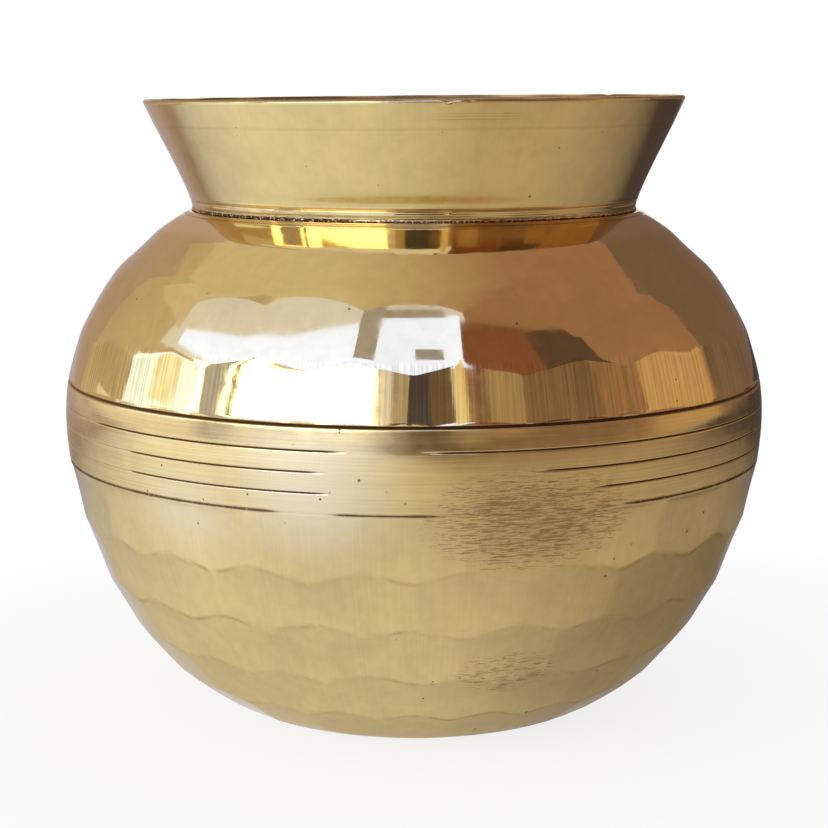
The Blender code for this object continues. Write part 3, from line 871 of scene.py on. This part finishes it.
def scratched(paint, scraped):
    """Dashes of the scraped patches, from 0 to 1."""
    thick = paint.math("MULTIPLY_ADD", scraped, DASH_THINNING, -DASH_THINNING)
    lines = []
    for around, up, start, full in DASHES:
        lines.append(paint.span(paint.total(paint.noise(paint.drawn(around, up)), thick), start, full))
    return paint.scaled(paint.chain("MAXIMUM", lines), paint.span(scraped, 0.0, DASH_EDGE))


def brass(name, colour, roughness, streak, ring, mottle, streaky, ridge_colour=PALE_BRASS):
    """Worn brass.

    Streak and ring are heights in metres of rubbed and turned lines, mottle and streaky the spread of tones.
    """
    paint = Paint(name)
    mark = {key: paint.mark(key) for key in Rings.MARKS}
    turned, scraped = mark["turned"], mark["scraped"]
    patches = paint.noise(paint.place, PATCH_CELLS, 3.0)
    clouds = paint.noise(paint.place, CLOUD_CELLS, 3.0)
    streaks = paint.noise(paint.drawn(*STREAK_CELLS), detail=3.0)
    rings = paint.noise(paint.drawn(*RING_CELLS))
    mark["scratches"] = scratched(paint, scraped)
    mark["pits"] = paint.scaled(paint.spots(PIT_CELLS, PIT_RADIUS, PIT_ODDS), paint.span(patches, *PIT_SPAN))
    unpolished = paint.spared(mark["polished"], turned)
    rubbed = paint.spared(mark["polished"], paint.scaled(turned, TURNED_RUBBING))

    # painted shade: the lie's term makes each hammer mark lighter at its lower edge and darker at its upper
    # edge
    shade = paint.total(paint.span(patches, *PATCH_SPAN, 1.0 - mottle, 1.0 + mottle),
                        paint.span(clouds, *PATCH_SPAN, -0.5 * mottle, 0.5 * mottle),
                        paint.scaled(paint.span(streaks, *LINE_SPAN, -streaky, streaky), unpolished),
                        paint.scaled(paint.span(rings, *LINE_SPAN, -RING_TONE, RING_TONE), turned),
                        paint.span(mark["lie"], -1.0, 1.0, *LIE_PAINTED_SHADES))
    base = paint.vector("SCALE", colour, Scale=shade)
    creased = paint.scaled(mark["ridge"], paint.span(patches, *RIDGE_SPAN, *RIDGE_SHARES))
    base = paint.blend(creased, base, ridge_colour)
    for key, gain, cover in COVERS:
        share = paint.math("MINIMUM", paint.scaled(mark[key], gain), COVER_MOST)
        base = paint.blend(share, base, cover)

    rough = paint.total(roughness, paint.span(clouds, *PATCH_SPAN, *ROUGH_SPREAD),
                        paint.span(patches, *PATCH_SPAN, *ROUGH_SPREAD),
                        *(paint.scaled(mark[key], more) for key, more in ROUGHER.items()))
    turned_lines = paint.total(ring, paint.scaled(turned, TURNED_RING))
    height = paint.total(paint.scaled(streaks, rubbed, streak), paint.scaled(rings, turned_lines),
                         paint.scaled(mark["scratches"], SCRATCH_HEIGHT),
                         paint.scaled(mark["pits"], PIT_HEIGHT))
    tangent = paint.add("Tangent")
    tangent.direction_type = "RADIAL"
    tangent.axis = "Z"
    paint.put(paint.inputs["Anisotropic"], paint.scaled(turned, TURNED_GRAIN))
    paint.put(paint.inputs["Tangent"], tangent.outputs[0])
    return paint.finish(base, rough, height)


def spelter(name, colour, dark, bits):
    """Brazing metal, brown with bright bits painted on as glints; where a seam is buffed flush it is as
    bright as the brass.

    Dark is the tarnish at which it is quite brown, and bits the value of the noise at which a crumb gets a
    painted glint.
    """
    paint = Paint(name)
    tarnish = paint.mark("tarnish")
    crumbs = paint.noise(paint.place, CRUMB_CELLS, 3.0)
    base = paint.blend(paint.scaled(paint.span(crumbs, *GRAIN_SPAN), GRAIN_SHARE), colour, UMBER)
    # painted glints: bright bits on the crumbs
    base = paint.blend(paint.scaled(paint.span(crumbs, bits, bits + BIT_FADE), BIT_SHARE), base, PALE_BRASS)
    base = paint.blend(paint.span(tarnish, 0.0, dark), BRASS, base)
    rough = paint.span(tarnish, 0.0, dark, *SPELTER_ROUGHNESS)
    return paint.finish(base, rough, paint.scaled(crumbs, CRUMB_HEIGHT))


# Studio
WHITE = (1.0, 1.0, 1.0)
MIDDLE = 0.075  # height of the pot's middle, from which the cards' angles are taken
WORLD_LIGHT = 0.85


def bare_nodes(name):
    """New material with an empty node tree, and the builder of that."""
    material = bpy.data.materials.new(name)
    material.use_nodes = True
    material.node_tree.nodes.clear()
    return material, Nodes(material.node_tree)


def emission(name, colour=WHITE):
    """Material that only gives off light, with the builder of its nodes and its light node."""
    material, nodes = bare_nodes(name)
    light = nodes.add("Emission", Color=colour)
    nodes.add("OutputMaterial", Surface=light.outputs[0])
    return material, nodes, light


def stage_face(name, points, material):
    """Flat piece of the studio, out of the camera's sight."""
    mesh = bpy.data.meshes.new(name)
    mesh.from_pydata([tuple(point) for point in points], [], [range(len(points))])
    mesh.materials.append(material)
    face = add_object(name, mesh)
    face.visible_camera = False
    return face


def only_mirrored(face):
    """Leave a card to the brass's reflections, out of the light on the floor."""
    face.visible_diffuse = False
    face.visible_shadow = False


def card(name, facing, reach, sides, levels, colour):
    """Upright card; its sides and levels are angles seen from the pot, 0 at the front and + to the right.

    The levels are of its bottom, its top and, where the top slopes, the top's right end.
    """
    turn = math.radians(facing)
    out = np.array([math.sin(turn), -math.cos(turn), 0.0])
    right = np.array([math.cos(turn), math.sin(turn), 0.0])
    left_end, right_end = (reach * math.tan(math.radians(side - facing)) for side in sides)
    bottom, top, *slope_end = (MIDDLE + reach * math.tan(math.radians(level)) for level in levels)
    right_top = slope_end[0] if slope_end else top
    corners = (left_end, bottom), (right_end, bottom), (right_end, right_top), (left_end, top)
    points = [out * reach + right * along + np.array([0.0, 0.0, up]) for along, up in corners]
    return stage_face(name, points, emission(name + "_light", colour)[0])


# Surroundings that the brass mirrors: name, facing, reach, sides, levels and radiance
SKY = (1.3, 1.69, 3.9)
DAYLIGHT = (5, 5, 5)
CARDS = (
    ("sky_front", 0, 1.25, (-29, 20), (29, 60.5), SKY),
    ("sky_middle", -40, 1.25, (-52, -28), (29, 47, 56), SKY),
    ("sky_left", -60, 1.25, (-72, -50), (29, 40.8, 47.4), SKY),
    ("sky_end", -80, 1.25, (-97, -71.5), (30.6, 32.3, 40.2), SKY),
    ("head_front", -10, 1.28, (-38, 36), (55, 68), (0.93, 1.02, 1.7)),
    ("head_middle", -55, 1.28, (-77, -34), (40, 62, 67), (0.98, 1.05, 1.6)),
    ("head_left", -90, 1.28, (-112, -70), (26, 34, 55.9), (0.98, 1.05, 1.5)),
    ("head_far", -112, 1.29, (-128, -92), (30, 40, 58), (0.86, 0.8, 0.78)),
    ("frame", -10, 1.15, (-25, -13), (44, 64), (0.52, 0.5, 0.72)),
    ("frame_top", 0, 1.15, (-20, 12), (58.5, 63.5), (0.5, 0.47, 0.6)),
    ("bar", 0, 1.1, (0, 9), (45, 49), (0.45, 0.5, 0.8)),
    ("sill_front", -10, 1.18, (-52, -9), (-4, 9), (1.15, 1.25, 1.8)),
    ("sill_left", -60, 1.18, (-80, -50), (-4, 8.5), (1.15, 1.22, 1.6)),
    ("mullion", -60, 1.1, (-74, -61), (-2, 29), (0.6, 0.62, 0.9)),
    ("mullion_edge", -60, 1.08, (-59.4, -57.6), (-2, 31), (0.3, 0.28, 0.35)),
    ("flag", 5, 0.9, (-4.5, 8), (-6, 31), (0.11, 0.1, 0.15)),
    ("flag_warm", 5, 0.9, (8, 14), (-6, 31), (0.22, 0.16, 0.14)),
    ("flag_side", 5, 0.9, (-9.5, -4.5), (-6, 31), (0.58, 0.52, 0.5)),
    ("flag_edge", 5, 0.9, (-14, -9.5), (-6, 31), (1.02, 1.05, 1.4)),
    ("flag_foot", 5, 0.89, (-9, 19.5), (-9, 9.5), (0.16, 0.12, 0.11)),
    ("flag_gap", 5, 0.88, (15, 17.5), (0, 42), (1.1, 0.95, 0.7)),
    ("right_wall", 70, 1.3, (18, 122), (-4, 70), (0.43, 0.25, 0.2)),
    ("right_box", 33, 1.1, (20, 48), (26, 56, 50), (0.28, 0.12, 0.08)),
    ("right_shelf", 58, 1.09, (47, 72), (26, 49, 41), (0.14, 0.09, 0.09)),
    ("right_low", 45, 1.12, (20, 84), (-4, 27), (0.3, 0.2, 0.155)),
    ("right_post", 27, 1.05, (23, 33), (4, 28), (0.52, 0.37, 0.29)),
    ("right_door", 66, 1.05, (60, 73), (10, 28), (0.42, 0.25, 0.18)),
    ("right_gold", 96, 1.05, (80, 112), (-3, 20), (0.69, 0.47, 0.31)),
    ("right_back", 142, 1.2, (114, 167), (-4, 50), (0.25, 0.18, 0.18)),
    ("left_wall", -115, 1.3, (-152, -80), (-4, 62), (0.72, 0.62, 0.58)),
    ("left_glow", -95, 1.05, (-108, -77), (4, 21), (1.42, 1.8, 2.9)),
    ("left_lamp", -87, 1.03, (-92, -83), (9, 19), (1.4, 1.46, 1.45)),
    ("left_low", -90, 1.05, (-122, -64), (-6, 4), (1.14, 1.12, 1.3)),
    ("left_back", -152, 1.2, (-167, -136), (-4, 50), (0.62, 0.52, 0.54)),
    ("back_soft", 180, 1.1, (167, 193), (8, 48), (1.3, 1.26, 1.18)),
)
WINDOWS = (
    ("window_front", -10, 1.2, (-52, -14), (9, 30), DAYLIGHT),
    ("window_left", -60, 1.2, (-80, -50), (8.5, 30), DAYLIGHT),
)

CEILING_HEIGHT = 1.2
CEILING_EDGE = (
    (1.7, -0.56), (1.7, 1.7), (-1.7, 1.7), (-1.3, 0.5), (-0.78, 0.0), (-0.52, -0.3), (-0.28, -0.56))
CEILING_STOPS = ((-0.4, (0.82, 0.76, 0.73)), (0.0, (0.66, 0.54, 0.47)), (0.4, (0.45, 0.26, 0.22)))

FLOOR_SIZE = 6.0
FLOOR_COLOUR = (0.8, 0.8, 0.8)
FLOOR_WHITE = 0.82  # least share of pure white in the floor as it is seen
FLOOR_FADE = (0.06, 0.2)  # distances from the pot's middle between which the floor fades into white

# Card on the floor for reflections: its radiance from left to right, and how that changes towards the back
GROUND_SIZE = 1.3
GROUND_LIFT = 0.0002
GROUND_ACROSS = (
    (-0.45, (1.26, 1.31, 1.56)), (-0.15, (1.02, 1.05, 1.19)), (0.0, (0.8, 0.79, 0.8)),
    (0.07, (0.6, 0.53, 0.47)), (0.4, (0.47, 0.37, 0.32)))
GROUND_BACK_LEFT = (
    (-0.6, (1.1, 1.14, 1.28)), (-0.05, (1.0, 1.0, 1.0)), (0.1, (0.7, 0.71, 0.8)),
    (0.2, (0.4, 0.33, 0.34)), (0.4, (0.52, 0.45, 0.5)))
GROUND_BACK_RIGHT = (
    (-0.6, (0.85, 0.8, 0.78)), (-0.08, (1.05, 1.05, 1.06)), (0.1, (0.6, 0.62, 0.74)),
    (0.23, (0.19, 0.19, 0.28)))
GROUND_SIDES = (-0.06, 0.06)  # from left to right, where the left side gives way to the right
SHADE_PLACE = (0.06, 0.015)  # middle of the pot's shade on it
SHADE_REACH = (0.05, 0.105)  # distances from there between which the shade fades out
SHADE_DEPTH = 0.36


def floor_material():
    """Pale floor with the pot's shadow on it, which fades to white away from the pot."""
    material, nodes = bare_nodes("pale_floor")
    plain = nodes.add("BsdfDiffuse", Color=FLOOR_COLOUR)
    white = nodes.add("Emission", Color=WHITE)
    away = nodes.away_from(nodes.split_place(), (0.0, 0.0))
    share = nodes.scaled(nodes.looking(), nodes.span(away, *FLOOR_FADE, FLOOR_WHITE, 1.0))
    mix = nodes.add("MixShader", share, plain.outputs[0], white.outputs[0])
    nodes.add("OutputMaterial", Surface=mix.outputs[0])
    return material


def ground_light():
    """Light of the card that lies on the floor, with the pot's shade on it."""
    material, nodes, light = emission("ground_light")
    axes = nodes.split_place()
    across = nodes.ramp(axes["X"], GROUND_ACROSS)
    back = nodes.blend(nodes.span(axes["X"], *GROUND_SIDES), nodes.ramp(axes["Y"], GROUND_BACK_LEFT),
                       nodes.ramp(axes["Y"], GROUND_BACK_RIGHT))
    nodes.put(light.inputs["Color"], nodes.blend(1.0, across, back, "MULTIPLY"))
    away = nodes.away_from(axes, SHADE_PLACE)
    nodes.put(light.inputs["Strength"], nodes.span(away, *SHADE_REACH, 1.0 - SHADE_DEPTH, 1.0))
    return material


def ceiling_light():
    material, nodes, light = emission("ceiling_light")
    nodes.put(light.inputs["Color"], nodes.ramp(nodes.split_place()["X"], CEILING_STOPS))
    return material


def level_square(half, height):
    return [(half * x, half * y, height) for x, y in ((-1, -1), (1, -1), (1, 1), (-1, 1))]


def world_light():
    """Plain light all round, which is white where it is seen, mirrored or looked through."""
    world = bpy.data.worlds.new("studio")
    bpy.context.scene.world = world
    world.use_nodes = True
    nodes = Nodes(world.node_tree)
    plain = nodes.tree.nodes["Background"]
    nodes.put(plain.inputs["Color"], WHITE)
    nodes.put(plain.inputs["Strength"], WORLD_LIGHT)
    white = nodes.add("Background", Color=WHITE)
    mix = nodes.add("MixShader", nodes.looking(), plain.outputs[0], white.outputs[0])
    nodes.put(nodes.tree.nodes["World Output"].inputs["Surface"], mix.outputs[0])


def studio():
    for values in WINDOWS:
        card(*values)
    for values in CARDS:
        only_mirrored(card(*values))
    only_mirrored(stage_face("ceiling", [(x, y, CEILING_HEIGHT) for x, y in CEILING_EDGE], ceiling_light()))
    only_mirrored(stage_face("ground_card", level_square(GROUND_SIZE, GROUND_LIFT), ground_light()))
    floor = stage_face("floor", level_square(FLOOR_SIZE, 0.0), floor_material())
    floor.visible_camera = True
    world_light()


# Camera, in front of the pot and a little over its lip
CAMERA_REACH = 0.4103
CAMERA_OVER_LIP = 0.00326
CAMERA_PITCH = 9.24  # degrees below level
CAMERA_LENS = 88.5


def add_camera():
    data = bpy.data.cameras.new("camera")
    data.lens = CAMERA_LENS
    camera = add_object("camera", data)
    camera.location = (0.0, -CAMERA_REACH, LIP_HEIGHT + CAMERA_OVER_LIP)
    camera.rotation_euler = (math.radians(90.0 - CAMERA_PITCH), 0.0, 0.0)
    bpy.context.scene.camera = camera


def main():
    rng = np.random.default_rng(SEED)
    half = half_seam(turns()[1], rng, SEGMENTS)
    neck_collar(rng, brass("collar_brass", BRASS, roughness=0.08, streak=0.3e-6, ring=1.4e-6,
                           mottle=0.06, streaky=0.015))
    neck_braze(rng, spelter("neck_spelter", NECK_SPELTER, dark=0.2, bits=0.54))
    shoulder_shell(rng, brass("shoulder_brass", BRASS, roughness=0.05, streak=2.4e-6, ring=0.0,
                              mottle=0.05, streaky=0.14), half)
    belly_braze(rng, spelter("belly_spelter", SPELTER, dark=0.6, bits=0.63), half)
    lower_bowl(rng, brass("bowl_brass", BOWL_BRASS, roughness=0.11, streak=0.8e-6, ring=0.5e-6,
                          mottle=0.06, streaky=0.02, ridge_colour=UMBER), half)
    studio()
    add_camera()
    bpy.context.scene.view_settings.view_transform = "Standard"


main()
